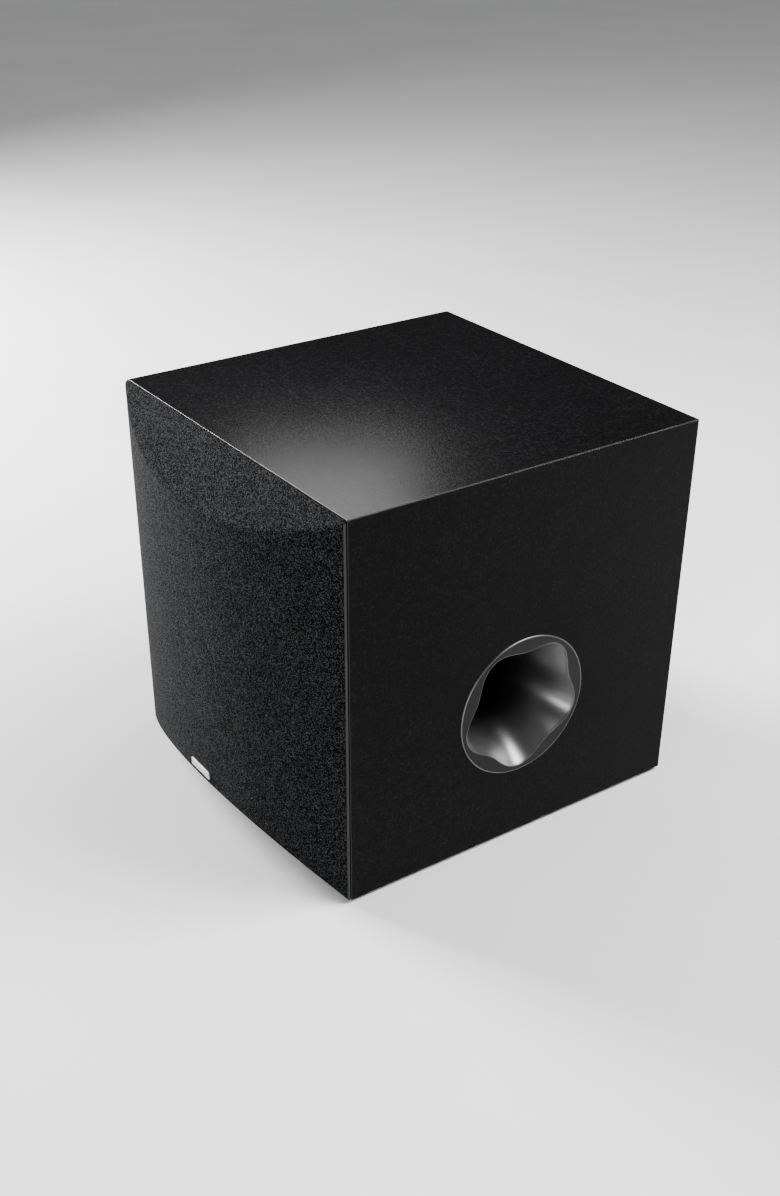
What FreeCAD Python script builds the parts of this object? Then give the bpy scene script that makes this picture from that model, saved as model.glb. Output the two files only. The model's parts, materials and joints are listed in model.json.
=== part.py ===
import FreeCAD, Part

# Powered bass-reflex subwoofer: a mitred, nearly cubic cabinet with a bowed pull-off grille in front,
# a twisted flared port in its right side, a cone driver behind the grille and an amplifier plate at the
# back. Millimetres. +Z is up, -Y is the front, and the origin is under the middle of the whole object,
# on the surface that the feet stand on.

import math
import os
import re

import Sketcher
from FreeCAD import Rotation, Vector

SIZES = {
    # cabinet
    "cab_w": 350, "cab_h": 348, "cab_d": 348, "wall": 15, "edge": 0.6, "baffle_t": 18,
    "foot_h": 3, "foot_rad": 14, "foot_in": 26, "rear_reach": 28,
    "batten": 18, "brace_t": 18, "brace_w": 40, "brace_up": 62, "brace_back": 55,
    "pad_t": 25, "pad_len": 180, "pad_wide": 210, "pad_start": 30,
    # grille
    "gap": 1.2, "lip": 2, "bow": 39.8, "cloth_t": 0.8, "frame_t": 3, "rail_w": 10,
    "rib_w": 8, "window_w": 100, "window_h": 121,
    "peg_x": 140, "peg_z": 138, "peg_rad": 3.5, "peg_in": 8, "peg_out": 9, "boss_rad": 8,
    "socket_rad": 6, "socket_len": 12, "socket_flange": 8, "socket_lip": 0.8, "socket_play": 0.1,
    "badge_w": 32, "badge_h": 8, "badge_up": 51, "badge_proud": 1, "badge_corner": 1.5,
    "lamp_rad": 3, "lamp_up": 29, "lamp_len": 11, "lamp_proud": 0.8,
    # port
    "port_up": 130.8, "port_ring": 65, "port_proud": 1, "port_rebate": 1.5, "port_hole": 62,
    "mouth_rad": 56, "lobe": 4.6, "lobes": 5, "first_lobe": 52, "twist": 14, "flare_len": 62,
    "flare_power": 1.6, "duct_rad": 37, "skin": 2.2, "tube_t": 3, "collar_len": 12, "tube_end": 75,
    "bell_rad": 46, "bell_len": 20,
    # driver
    "seat": 6, "flange_t": 2, "flange_rad": 131, "bolt_rad": 125.5, "cutout_rad": 117,
    "screw_rad": 2, "head_rad": 4.2, "head_h": 2.4, "screw_len": 13, "slot_w": 1.1,
    "landing_rad": 119, "roll_out": 112, "roll_in": 96, "roll_t": 1, "roll_bend": 8.3,
    "cone_lip": 90, "cone_depth": 40, "neck_rad": 25.4, "cone_t": 1.3, "gasket_t": 3,
    "cap_rad": 38, "cap_rise": 14.5, "cap_t": 1.2,
    "former_t": 0.4, "former_at": 40, "former_len": 51, "coil_t": 1.3, "coil_len": 24,
    "spider_at": 53, "spider_rad": 62, "spider_t": 0.8, "spider_wave": 2,
    "bowl_t": 3, "bowl_rad": 75, "bowl_back": 54, "plate_at": 73, "plate_t": 8, "plate_rad": 62,
    "gap_rad": 27.6, "pole_rad": 24.3, "vent_rad": 6, "magnet_rad": 66, "magnet_in": 32,
    "magnet_t": 15, "basket_plate": 3, "hub_in": 30,
    # amplifier
    "amp_w": 200, "amp_h": 250, "amp_t": 2, "seal_t": 1, "well": 8, "amp_screw_in": 4,
    "amp_screw_rad": 1.75, "amp_head_rad": 3.4, "amp_head_h": 2, "amp_screw_len": 12,
    "sink_x": 6, "sink_w": 84, "sink_h": 200, "sink_base": 4, "fin_t": 2, "fins": 11,
    "board_t": 1.6, "board_off": 26, "board_w": 88, "standoff_rad": 3,
    "can_rad": 15, "can_len": 42, "chip_w": 16, "chip_h": 20, "chip_t": 5,
    "near_x": 28, "far_x": 70, "mid_x": 49, "knob_up": 92, "row_up": 58, "low_up": 30,
    "jack_up": -2, "jack_pitch": 22, "rocker_up": -48, "inlet_up": -92,
    "knob_rad": 11, "knob_len": 15.4, "knob_off": 3.6, "shaft_rad": 3, "play": 0.05,
    "pot_rad": 8.5, "case_d": 13, "slider": 3.5, "slider_out": 5.5, "phase_throw": 4,
    "standby_throw": 3, "button_rad": 3.4, "button_out": 7,
    "core_w": 66, "core_h": 56, "core_d": 40, "leg": 22, "core_window": 11, "coil_over": 10,
}
ALIASES = re.compile(r"\b(" + "|".join(sorted(SIZES, key=len, reverse=True)) + r")\b")

doc = FreeCAD.newDocument("subwoofer")
sheet = doc.addObject("Spreadsheet::Sheet", "Dims")
for row, (alias, size) in enumerate(SIZES.items(), 1):
    sheet.set(f"A{row}", alias)
    sheet.set(f"B{row}", str(size))
    sheet.setAlias(f"B{row}", alias)
doc.recompute()

# Planes and centres that many pieces share, as expressions over the sheet.
FRONT = "((bow + lip + gap + badge_proud - cab_d - rear_reach) / 2)"
BACK = f"({FRONT} + cab_d)"
BOTTOM = "foot_h"
TOP = "(foot_h + cab_h)"
MID = "(foot_h + cab_h / 2)"
HALF = "(cab_w / 2)"
INNER = "(cab_w / 2 - wall)"
FLOOR = "(foot_h + wall)"
CEILING = "(foot_h + cab_h - wall)"
GRILLE = f"({FRONT} - gap)"
BOW_R = "((cab_w * cab_w / 4 + bow * bow) / (2 * bow))"
PORT_Y = f"({FRONT} + cab_d / 2)"
PORT_Z = "(foot_h + port_up)"
PORT_X = "(cab_w / 2 + port_proud)"
PLATE_IN = f"({BACK} + seal_t)"
PLATE_OUT = f"({BACK} + seal_t + amp_t)"
CONE_FACE = f"({FRONT} + seat - flange_t)"

pieces = []


def bound(text):
    """The expression that FreeCAD keeps: every size read from its cell."""
    return ALIASES.sub(r"Dims.\1", str(text))


def value(text):
    return float(sheet.evalExpression(bound(text)))


def piece(obj, label):
    """obj becomes the sub-part that is written to parts/LABEL.step."""
    obj.Label = label
    pieces.append(obj)
    return obj


def plane_of(body, role):
    return next(f for f in body.Origin.OriginFeatures if f.Role == role)


def add_loop(sketch, loop):
    """A closed outline: ("circle", x, y, radius), or points (x, y), where (x, y, radius, turn) starts an arc
    to the next point that turns left (+1) or right (-1)."""
    if loop[0] == "circle":
        _, x, y, radius = loop
        centre = Vector(value(x), value(y), 0)
        edge = sketch.addGeometry(Part.Circle(centre, Vector(0, 0, 1), value(radius)), False)
        for kind, text in (("DistanceX", x), ("DistanceY", y)):
            pin = Sketcher.Constraint(kind, -1, 1, edge, 3, value(text))
            sketch.setExpression(f"Constraints[{sketch.addConstraint(pin)}]", bound(text))
        size = sketch.addConstraint(Sketcher.Constraint("Radius", edge, value(radius)))
        sketch.setExpression(f"Constraints[{size}]", bound(radius))
        return
    points = [Vector(value(p[0]), value(p[1]), 0) for p in loop]
    edges = []
    for i, corner in enumerate(loop):
        a, b = points[i], points[(i + 1) % len(loop)]
        if len(corner) == 2:
            edges.append((sketch.addGeometry(Part.LineSegment(a, b), False), 1, 2))
            continue
        radius, turn = value(corner[2]), corner[3]
        across = b - a
        rise = math.sqrt(radius * radius - across.Length ** 2 / 4)
        normal = Vector(-across.y, across.x, 0).normalize()
        centre = (a + b) / 2 + normal * rise * turn
        start, end = (a, b) if turn > 0 else (b, a)
        angles = [math.atan2(p.y - centre.y, p.x - centre.x) for p in (start, end)]
        circle = Part.Circle(centre, Vector(0, 0, 1), radius)
        edge = sketch.addGeometry(Part.ArcOfCircle(circle, *angles), False)
        edges.append((edge, 1, 2) if turn > 0 else (edge, 2, 1))
    for i, (edge, _, last) in enumerate(edges):
        following, first, _ = edges[(i + 1) % len(edges)]
        sketch.addConstraint(Sketcher.Constraint("Coincident", edge, last, following, first))
    for (edge, first, _), corner in zip(edges, loop):
        for kind, text in (("DistanceX", corner[0]), ("DistanceY", corner[1])):
            pin = Sketcher.Constraint(kind, -1, 1, edge, first, value(text))
            sketch.setExpression(f"Constraints[{sketch.addConstraint(pin)}]", bound(text))
        if len(corner) == 4:
            size = sketch.addConstraint(Sketcher.Constraint("Radius", edge, value(corner[2])))
            sketch.setExpression(f"Constraints[{size}]", bound(corner[2]))


def sketch_on(body, plane, loops, offset="0"):
    sketch = body.newObject("Sketcher::SketchObject", body.Name + "_sketch")
    sketch.AttachmentSupport = [(plane_of(body, plane + "_Plane"), "")]
    sketch.MapMode = "FlatFace"
    sign = "-" if plane == "XZ" else ""  # that plane's normal is -Y
    sketch.setExpression("AttachmentOffset.Base.z", bound(f"{sign}({offset})"))
    for loop in loops:
        add_loop(sketch, loop)
    return sketch


def extruded(name, plane, loops, start, length):
    """Loops drawn on a plane (XY, XZ or YZ) and padded towards its positive side from start."""
    body = doc.addObject("PartDesign::Body", name)
    pad = body.newObject("PartDesign::Pad", name + "_pad")
    pad.Profile = sketch_on(body, plane, loops, start)
    pad.Reversed = plane == "XZ"
    pad.setExpression("Length", bound(length))
    return body


def pocketed(body, plane, loops):
    """Cuts the loops right through the body, both ways."""
    pocket = body.newObject("PartDesign::Pocket", body.Name + "_pocket")
    pocket.Profile = sketch_on(body, plane, loops)
    pocket.Type = "ThroughAll"
    pocket.SideType = "Symmetric"
    return pocket


def patterned(body, feature, count):
    """Repeats the feature round the body's Y axis."""
    pattern = body.newObject("PartDesign::PolarPattern", body.Name + "_pattern")
    pattern.Originals = [feature]
    pattern.Axis = (plane_of(body, "Y_Axis"), [""])
    pattern.Angle = 360
    pattern.Occurrences = count
    body.Tip = pattern


def revolved(name, axis, loop, x="0", y="0", z="0"):
    """A profile turned about an axis through (x, y, z). About Y its points are (radius, y), about X they
    are (x, radius), and about Z they are (radius, z)."""
    body = doc.addObject("PartDesign::Body", name)
    turn = body.newObject("PartDesign::Revolution", name + "_turn")
    turn.Profile = sketch_on(body, "XZ" if axis == "Z" else "XY", [loop])
    turn.ReferenceAxis = (turn.Profile[0], ["H_Axis" if axis == "X" else "V_Axis"])
    turn.Angle = 360
    for letter, text in zip("xyz", (x, y, z)):
        body.setExpression("Placement.Base." + letter, bound(text))
    return body


def box(name, x, y, z, dx, dy, dz):
    solid = doc.addObject("Part::Box", name)
    for prop, text in (("Length", dx), ("Width", dy), ("Height", dz)):
        solid.setExpression(prop, bound(text))
    for letter, text in zip("xyz", (x, y, z)):
        solid.setExpression("Placement.Base." + letter, bound(text))
    return solid


def rod(name, axis, x, y, z, radius, length):
    """A cylinder from (x, y, z) along +X, +Y or +Z."""
    solid = doc.addObject("Part::Cylinder", name)
    solid.Placement.Rotation = Rotation(Vector(0, 0, 1), Vector(*(float(a == axis) for a in "XYZ")))
    solid.setExpression("Radius", bound(radius))
    solid.setExpression("Height", bound(length))
    for letter, text in zip("xyz", (x, y, z)):
        solid.setExpression("Placement.Base." + letter, bound(text))
    return solid


def fused(name, parts):
    whole = doc.addObject("Part::MultiFuse", name)
    whole.Shapes = parts
    return whole


def cut(name, base, tools):
    rest = doc.addObject("Part::Cut", name)
    rest.Base = base
    rest.Tool = tools[0] if len(tools) == 1 else fused(name + "_tools", tools)
    return rest


def common(name, a, b):
    shared = doc.addObject("Part::Common", name)
    shared.Base, shared.Tool = a, b
    return shared


def group(name, parts):
    """Separate solids that share one node."""
    together = doc.addObject("Part::Compound", name)
    together.Links = parts
    return together


def rectangle(x0, y0, x1, y1):
    return [(x0, y0), (x1, y0), (x1, y1), (x0, y1)]


def centred(half_x, half_z):
    """A rectangle about the middle of the cabinet's front or back."""
    return rectangle(f"-({half_x})", f"{MID} - ({half_z})", half_x, f"{MID} + ({half_z})")


def round_the_axis(radius, count):
    """(x, z) of places round the driver's axis, clear of the vertical."""
    for k in range(count):
        angle = math.radians(360 / count * (k + 0.5))
        yield f"({radius} * {math.cos(angle):.6f})", f"({MID} + {radius} * {math.sin(angle):.6f})"


def amp_screw_places():
    for side in ("-", ""):
        for step in (-1, -0.5, 0, 0.5, 1):
            yield (f"{side}(amp_w / 2 - amp_screw_in)", f"({MID} + {step} * (amp_h / 2 - amp_screw_in))")


def peg_places():
    for x in ("-peg_x", "peg_x"):
        for z in (f"({MID} - peg_z)", f"({MID} + peg_z)"):
            yield x, z


# Cabinet

def wrap_panels():
    """Four panels mitred along their long edges, each with half of the small flat on the folded edge."""
    for name, plane, inward in (("bottom_panel", BOTTOM, ""), ("top_panel", TOP, "-")):
        outline = []
        for side, order in (("-", (2, 1, 0)), ("", (0, 1, 2))):
            corners = [
                (f"{side}({HALF} - edge)", plane),
                (f"{side}({HALF} - edge / 2)", f"{plane} + {inward}edge / 2"),
                (f"{side}{INNER}", f"{plane} + {inward}wall"),
            ]
            outline += [corners[k] for k in order]
        piece(extruded(name, "XZ", [outline], FRONT, "cab_d"), name)
    for name, side in (("left_panel", "-"), ("right_side", "")):
        outline = [
            (f"{side}{HALF}", f"{BOTTOM} + edge"),
            (f"{side}{HALF}", f"{TOP} - edge"),
            (f"{side}({HALF} - edge / 2)", f"{TOP} - edge / 2"),
            (f"{side}{INNER}", CEILING),
            (f"{side}{INNER}", FLOOR),
            (f"{side}({HALF} - edge / 2)", f"{BOTTOM} + edge / 2"),
        ]
        panel = extruded(name, "XZ", [outline], FRONT, "cab_d")
        if name == "left_panel":
            piece(panel, name)
            continue
        hole = rod("port_opening", "X", f"{INNER} - 1", PORT_Y, PORT_Z, "port_hole", "wall + 2")
        rebate = rod("port_rebate_cut", "X", f"{HALF} - port_rebate", PORT_Y, PORT_Z, "port_ring + play", "5")
        piece(cut("right_panel_cut", panel, [hole, rebate]), "right_panel")


def back_panel():
    well = centred("amp_w / 2 - well", "amp_h / 2 - well")
    outer = rectangle(f"-{INNER}", FLOOR, INNER, CEILING)
    pilots = [("circle", x, z, "amp_screw_rad") for x, z in amp_screw_places()]
    piece(extruded("back", "XZ", [outer, well, *pilots], f"{BACK} - wall", "wall"), "back_panel")


def front_baffle():
    outer = rectangle(f"-{INNER}", FLOOR, INNER, CEILING)
    holes = [("circle", "0", MID, "cutout_rad"), ("circle", "0", "foot_h + lamp_up", "lamp_rad")]
    holes += [("circle", x, z, "screw_rad") for x, z in round_the_axis("bolt_rad", 8)]
    holes += [("circle", x, z, "socket_rad") for x, z in peg_places()]
    board = extruded("baffle", "XZ", [outer, *holes], FRONT, "baffle_t")
    rebate = rod("driver_rebate", "Y", "0", f"{FRONT} - 1", MID, "flange_rad + 1", "seat + 1")
    piece(cut("baffle_cut", board, [rebate]), "front_baffle")


def stiffening():
    """Square battens glued along the four inner edges, a brace from side to side, and wadding pads."""
    battens = []
    for x in (f"-{INNER}", f"({INNER} - batten)"):
        for z in (FLOOR, f"({CEILING} - batten)"):
            length = "cab_d - baffle_t - wall"
            battens.append(box("batten_bar", x, f"{FRONT} + baffle_t", z, "batten", length, "batten"))
    piece(group("battens", battens), "corner_battens")
    brace_y, brace_z = f"{PORT_Y} + brace_back", f"{MID} + brace_up"
    piece(box("brace", f"-{INNER}", brace_y, brace_z, f"2 * {INNER}", "brace_t", "brace_w"), "side_brace")
    start, low, high = f"{FRONT} + pad_start", f"{MID} - pad_wide / 2", f"{CEILING} - pad_t"
    side_pad = box("side_pad", f"-{INNER}", start, low, "pad_t", "pad_len", "pad_wide")
    top_pad = box("top_pad", "-pad_wide / 2", start, high, "pad_wide", "pad_len", "pad_t")
    piece(group("pads", [side_pad, top_pad]), "wadding_pads")


def feet():
    profile = [
        ("0", "0"), ("foot_rad - edge", "0"), ("foot_rad", "edge"), ("foot_rad", "foot_h"), ("0", "foot_h"),
    ]
    pads = []
    for x in (f"-({HALF} - foot_in)", f"({HALF} - foot_in)"):
        for y in (f"({FRONT} + foot_in)", f"({BACK} - foot_in)"):
            pads.append(revolved("foot_pad", "Z", profile, x=x, y=y))
    piece(group("four_feet", pads), "feet")


# Grille

def bow_block(name, inset):
    """The grille's outer form moved in by inset: a block with a bowed front, cut back at 45 degrees from
    the cabinet's top and bottom edges."""
    half = f"({HALF} - {inset})"
    radius = f"({BOW_R} - {inset})"
    spring = f"({GRILLE} - lip - bow + {BOW_R} - sqrt({radius} * {radius} - {half} * {half}))"
    plan = [(half, GRILLE), (f"-{half}", GRILLE), (f"-{half}", spring, radius, 1), (half, spring)]
    block = extruded(name, "XY", [plan], BOTTOM, "cab_h")
    wedges = []
    for edge_z, sign in ((TOP, 1), (BOTTOM, -1)):
        level = f"{edge_z} - {sign} * sqrt(2) * {inset}"
        over, under = f"{level} + {sign} * 10", f"{level} - {sign} * 60"
        wedges.append([(f"{GRILLE} + 10", over), (f"{GRILLE} - 60", under), (f"{GRILLE} - 60", over)])
    pocketed(block, "YZ", wedges)
    return block


def grille():
    cloth_form = bow_block("cloth_form", "0")
    cloth_inside = bow_block("cloth_inside", "cloth_t")
    piece(cut("cloth_shell", cloth_form, [cloth_inside]), "grille_cloth")

    frame_inside = bow_block("frame_inside", "(cloth_t + frame_t)")
    frame_outside = bow_block("frame_outside", "cloth_t")
    windows = []
    for column in (-1, 0, 1):
        for row in (0, 1):
            x = f"{column} * (window_w + rib_w) - window_w / 2"
            z = f"{MID} + {row} * rib_w / 2 - {1 - row} * (rib_w / 2 + window_h)"
            windows.append(box("window", x, f"{GRILLE} - 60", z, "window_w", "56", "window_h"))
    shell = cut("frame_shell", frame_outside, [frame_inside, *windows])
    rail_out = centred(f"{HALF} - cloth_t", "cab_h / 2 - 2 * frame_t")
    rail_in = centred(f"{HALF} - rail_w", "cab_h / 2 - rail_w - 6")
    rail = extruded("rail", "XZ", [rail_out, rail_in], f"{GRILLE} - frame_t", "frame_t")
    bosses, bores = [], []
    for x, z in peg_places():
        bosses.append(rod("boss", "Y", x, f"{GRILLE} - 25", z, "boss_rad", "25"))
        bores.append(rod("boss_bore", "Y", x, f"{GRILLE} - peg_in", z, "peg_rad", "peg_in + 1"))
    solid = fused("rail_and_bosses", [rail, *bosses])
    inner = common("frame_inner", solid, bow_block("boss_limit", "cloth_t"))
    piece(cut("frame_bored", fused("frame_solid", [shell, inner]), bores), "grille_frame")

    pegs, sockets = [], []
    root, tip = f"{GRILLE} - peg_in", f"{FRONT} + peg_out"
    shank = [("0", root), ("peg_rad", root), ("peg_rad", f"{tip} - 2"), ("peg_rad - 1.5", tip), ("0", tip)]
    bore, brim, inmost = "peg_rad + socket_play", f"{FRONT} - socket_lip", f"{FRONT} + socket_len"
    cup = [
        (bore, brim), ("socket_flange", brim), ("socket_flange", FRONT),
        ("socket_rad", FRONT), ("socket_rad", inmost), (bore, inmost),
    ]
    for x, z in peg_places():
        pegs.append(revolved("peg", "Y", shank, x=x, z=z))
        sockets.append(revolved("socket", "Y", cup, x=x, z=z))
    piece(group("pegs", pegs), "grille_pegs")
    piece(group("sockets", sockets), "grille_sockets")

    apex = f"({GRILLE} - lip - bow)"
    c, x1 = "badge_corner", "badge_w / 2"
    z0, z1 = "foot_h + badge_up - badge_h / 2", "foot_h + badge_up + badge_h / 2"
    outline = [
        (f"-{x1} + {c}", z0), (f"{x1} - {c}", z0, c, 1),
        (x1, f"{z0} + {c}"), (x1, f"{z1} - {c}", c, 1),
        (f"{x1} - {c}", z1), (f"-{x1} + {c}", z1, c, 1),
        (f"-{x1}", f"{z1} - {c}"), (f"-{x1}", f"{z0} + {c}", c, 1),
    ]
    plate = extruded("badge_plate", "XZ", [outline], f"{apex} - badge_proud", "badge_proud + 2")
    piece(cut("badge_cut", plate, [bow_block("badge_seat", "0")]), "badge")

    lens, stem = f"{FRONT} - lamp_proud", f"{FRONT} + lamp_len"
    lamp = [("0", lens), ("lamp_rad - 1", lens), ("lamp_rad", FRONT), ("lamp_rad", stem), ("0", stem)]
    piece(revolved("lamp", "Y", lamp, z="foot_h + lamp_up"), "power_lamp")


# Port

def flare_section(along, extra):
    """The twisted mouth's outline at one station, from 0 at the face to 1 at the duct."""
    left = 1 - along
    spread = (value("mouth_rad") - value("duct_rad")) * left ** value("flare_power")
    phase = math.radians(value("first_lobe") + value("twist") * along)
    count = 60
    points = []
    for k in range(count):
        angle = math.radians(360 * k / count)
        wave = value("lobe") * left * math.cos(value("lobes") * (angle - phase))
        r = value("duct_rad") + spread + extra + wave
        x = value(PORT_X) - value("flare_len") * along
        points.append(Vector(x, r * math.cos(angle), r * math.sin(angle)))
    curve = Part.BSplineCurve()
    curve.interpolate(Points=points, PeriodicFlag=True)
    return Part.Wire(curve.toShape())


def flare_loft(extra):
    stations = [0, 0.08, 0.18, 0.3, 0.44, 0.58, 0.72, 0.86, 1]
    return Part.makeLoft([flare_section(along, extra) for along in stations], True, False)


def tube(x0, x1, inner, outer):
    """A round tube along X, centred on the port's axis."""
    start, length = Vector(x0, 0, 0), x1 - x0
    along = Vector(1, 0, 0)
    return Part.makeCylinder(outer, length, start, along).cut(Part.makeCylinder(inner, length, start, along))


def port():
    """The mouth is a smooth loft through twisted, five-lobed sections, which no primitive gives."""
    face, duct, skin = value(PORT_X), value("duct_rad"), value("skin")
    bed = value(HALF) - value("port_rebate")
    end = face - value("flare_len")
    collar = duct + value("tube_t")
    ring = Part.makeCylinder(value("port_ring"), face - bed, Vector(bed, 0, 0), Vector(1, 0, 0))
    rim = [e for e in ring.Edges if abs(e.BoundBox.XMin - face) < 1e-6 and e.BoundBox.XLength < 1e-6]
    ring = ring.makeFillet(0.8, rim[:1])
    outer = flare_loft(skin).cut(Part.makeBox(face, 200, 200, Vector(bed, -100, -100)))
    shoulder = tube(end, end + 4, duct + 0.5, collar + skin)
    sleeve = tube(end - value("collar_len"), end + 4, collar, collar + skin)
    mouth = doc.addObject("Part::Feature", "mouth")
    mouth.Shape = ring.fuse([outer, shoulder, sleeve]).cut(flare_loft(0))
    for letter, text in (("y", PORT_Y), ("z", PORT_Z)):
        mouth.setExpression("Placement.Base." + letter, bound(text))
    piece(mouth, "port_flare")

    end_x, tube_rad = f"({PORT_X} - flare_len)", "duct_rad + tube_t"
    wall = [(end_x, "duct_rad"), (end_x, tube_rad), ("-tube_end", tube_rad), ("-tube_end", "duct_rad")]
    piece(revolved("duct", "X", wall, y=PORT_Y, z=PORT_Z), "port_tube")

    spread = "(bell_rad - duct_rad)"
    bell_r = f"((bell_len * bell_len + {spread} * {spread}) / (2 * {spread}))"
    rim_x, lap_x = "-(tube_end + bell_len)", "-(tube_end - collar_len)"
    bell = [
        ("-tube_end", "duct_rad", bell_r, -1), (rim_x, "bell_rad"), (rim_x, "bell_rad + skin"),
        ("-(tube_end + 4)", f"{tube_rad} + skin"), (lap_x, f"{tube_rad} + skin"),
        (lap_x, tube_rad), ("-tube_end", tube_rad),
    ]
    piece(revolved("bell", "X", bell, y=PORT_Y, z=PORT_Z), "port_inner_flare")


# Driver

def at(depth):
    """A plane this far behind the baffle's front."""
    return f"({FRONT} + {depth})"


def ring_profile(inner, outer, front, back):
    return [(inner, at(front)), (outer, at(front)), (outer, at(back)), (inner, at(back))]


def screw(name, x, z, face, length, radius, head, height):
    """A cross-slotted screw whose head stands out of the plane face towards -Y or, with a negative
    height, towards +Y."""
    out = 1 if height.startswith("-") else -1
    tall = height.lstrip("-")
    crown = f"({face} + {out} * {tall})"
    profile = [
        ("0", crown), (f"{head} - {tall} / 2", crown), (head, f"({crown} + {face}) / 2"), (head, face),
        (radius, face), (radius, f"{face} - {out} * ({length} - {radius})"),
        ("0", f"{face} - {out} * {length}"),
    ]
    blank = revolved(name, "Y", profile, x=x, z=z)
    slots = []
    for dx, dz in ((head, "slot_w"), ("slot_w", head)):
        deep = f"{crown} - {tall} / 2"
        slots.append(box(name + "_slot", f"{x} - {dx} / 2", deep, f"{z} - {dz} / 2", dx, tall, dz))
    return cut(name + "_cross", blank, slots)


def basket():
    face, plate, ledge = at("seat - flange_t"), at("plate_at - basket_plate"), at("spider_at + spider_t")
    profile = [
        ("flange_rad", face), ("flange_rad", at("seat")),
        ("cutout_rad - 1", at("seat")), ("cutout_rad - 1", at("seat + 8")),
        ("bowl_rad", at("bowl_back")), ("bowl_rad", at("plate_at")),
        ("hub_in", at("plate_at")), ("hub_in", plate),
        ("bowl_rad - bowl_t", plate), ("bowl_rad - bowl_t", at("bowl_back + 2")),
        ("spider_rad", at("bowl_back + 2")), ("spider_rad", ledge),
        ("bowl_rad - 4", ledge), ("roll_out + 0.5", at("seat + 7")), ("roll_out + 0.5", face),
    ]
    body = revolved("basket", "Y", profile, z=MID)
    near, far = "bowl_rad + 3", "cutout_rad - 11"
    window = [("-17", near), ("17", near), ("20.5", far), ("-20.5", far)]
    patterned(body, pocketed(body, "XZ", [window]), 8)
    holes = [
        rod("flange_hole", "Y", x, at("0"), z, "screw_rad", "seat + 1")
        for x, z in round_the_axis("bolt_rad", 8)
    ]
    piece(cut("basket_drilled", body, holes), "woofer_basket")


def suspension():
    """The rubber half roll at the cone's edge and the corrugated spider at its neck."""
    face, back = at("gasket_t"), CONE_FACE
    profile = [
        ("cone_lip", back), ("cone_lip", face), ("roll_in", face, "roll_bend", 1), ("roll_out", face),
        ("landing_rad", face), ("landing_rad", back), ("roll_out - 0.8", back, "roll_bend - roll_t", -1),
        ("roll_in + 0.8", back),
    ]
    piece(revolved("surround", "Y", profile, z=MID), "woofer_surround")
    waves = [("neck_rad", "0"), ("30", "0")]
    waves += [(str(34 + 4 * k), f"spider_wave * {1 - 2 * (k % 2)}") for k in range(7)]
    waves += [("spider_rad", "0"), ("spider_rad + 5", "0")]
    front = [(r, at(f"spider_at - {w}")) for r, w in waves]
    rear = [(r, at(f"spider_at + spider_t - {w}")) for r, w in reversed(waves)]
    piece(revolved("spider", "Y", front + rear, z=MID), "woofer_spider")


def moving_cone():
    neck_y = f"({CONE_FACE} + cone_depth)"
    slope = "(cone_depth / (cone_lip - neck_rad))"
    profile = [
        ("roll_in", CONE_FACE), ("cone_lip", CONE_FACE), ("neck_rad", neck_y),
        ("neck_rad", f"{neck_y} + 1.5 * cone_t"), ("cone_lip - 1", f"{CONE_FACE} + cone_t"),
        ("roll_in", f"{CONE_FACE} + cone_t"),
    ]
    piece(revolved("cone", "Y", profile, z=MID), "woofer_cone")
    seat_y = f"({CONE_FACE} + (cone_lip - cap_rad) * {slope})"
    top_y = f"({seat_y} - cap_rise)"
    inner_r = "(cap_rad - 1)"
    inner_y = f"({CONE_FACE} + (cone_lip - {inner_r}) * {slope})"
    rise = f"({inner_y} - {top_y} - cap_t)"
    outer_arc = "((cap_rad * cap_rad + cap_rise * cap_rise) / (2 * cap_rise))"
    inner_arc = f"(({inner_r} * {inner_r} + {rise} * {rise}) / (2 * {rise}))"
    cap = [
        ("0", top_y, outer_arc, 1), ("cap_rad", seat_y), (inner_r, inner_y, inner_arc, -1),
        ("0", f"{top_y} + cap_t"),
    ]
    piece(revolved("cap", "Y", cap, z=MID), "dust_cap")
    former = ring_profile("neck_rad - former_t", "neck_rad", "former_at", "former_at + former_len")
    piece(revolved("former", "Y", former, z=MID), "coil_former")
    start, end = ("(plate_at + plate_t / 2) - coil_len / 2", "(plate_at + plate_t / 2) + coil_len / 2")
    winding = ring_profile("neck_rad", "neck_rad + coil_t", start, end)
    piece(revolved("winding", "Y", winding, z=MID), "coil_winding")


def motor():
    behind = "(plate_at + plate_t)"
    plate = ring_profile("gap_rad", "plate_rad", "plate_at", behind)
    piece(revolved("washer", "Y", plate, z=MID), "woofer_top_plate")
    rings = []
    for k in (0, 1):
        near, far = f"{behind} + {k} * magnet_t", f"{behind} + {k + 1} * magnet_t"
        ring = ring_profile("magnet_in", "magnet_rad", near, far)
        rings.append(revolved("magnet", "Y", ring, z=MID))
    piece(group("magnets", rings), "woofer_magnets")
    stack = f"{behind} + 2 * magnet_t"
    pole, foot, rear = at("plate_at"), at(stack), at(f"{stack} + plate_t")
    yoke = [
        ("vent_rad", pole), ("pole_rad", pole), ("pole_rad", foot),
        ("plate_rad", foot), ("plate_rad", rear), ("vent_rad", rear),
    ]
    piece(revolved("yoke", "Y", yoke, z=MID), "woofer_yoke")


def driver():
    basket()
    gasket = ring_profile("roll_out", "landing_rad", "0", "gasket_t")
    piece(revolved("gasket", "Y", gasket, z=MID), "woofer_gasket")
    suspension()
    moving_cone()
    motor()
    fixings = [
        screw("driver_screw", x, z, CONE_FACE, "screw_len", "screw_rad", "head_rad", "head_h")
        for x, z in round_the_axis("bolt_rad", 8)
    ]
    piece(group("driver_screws", fixings), "woofer_screws")
    block = box("terminal", "-9", at("plate_at - 16"), f"{MID} + bowl_rad", "18", "13", "6")
    tabs = [box("tab", x, at("plate_at - 12"), f"{MID} + bowl_rad + 6", "1", "6", "8") for x in ("-6", "5")]
    piece(fused("terminal_strip", [block, *tabs]), "woofer_terminal")


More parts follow.
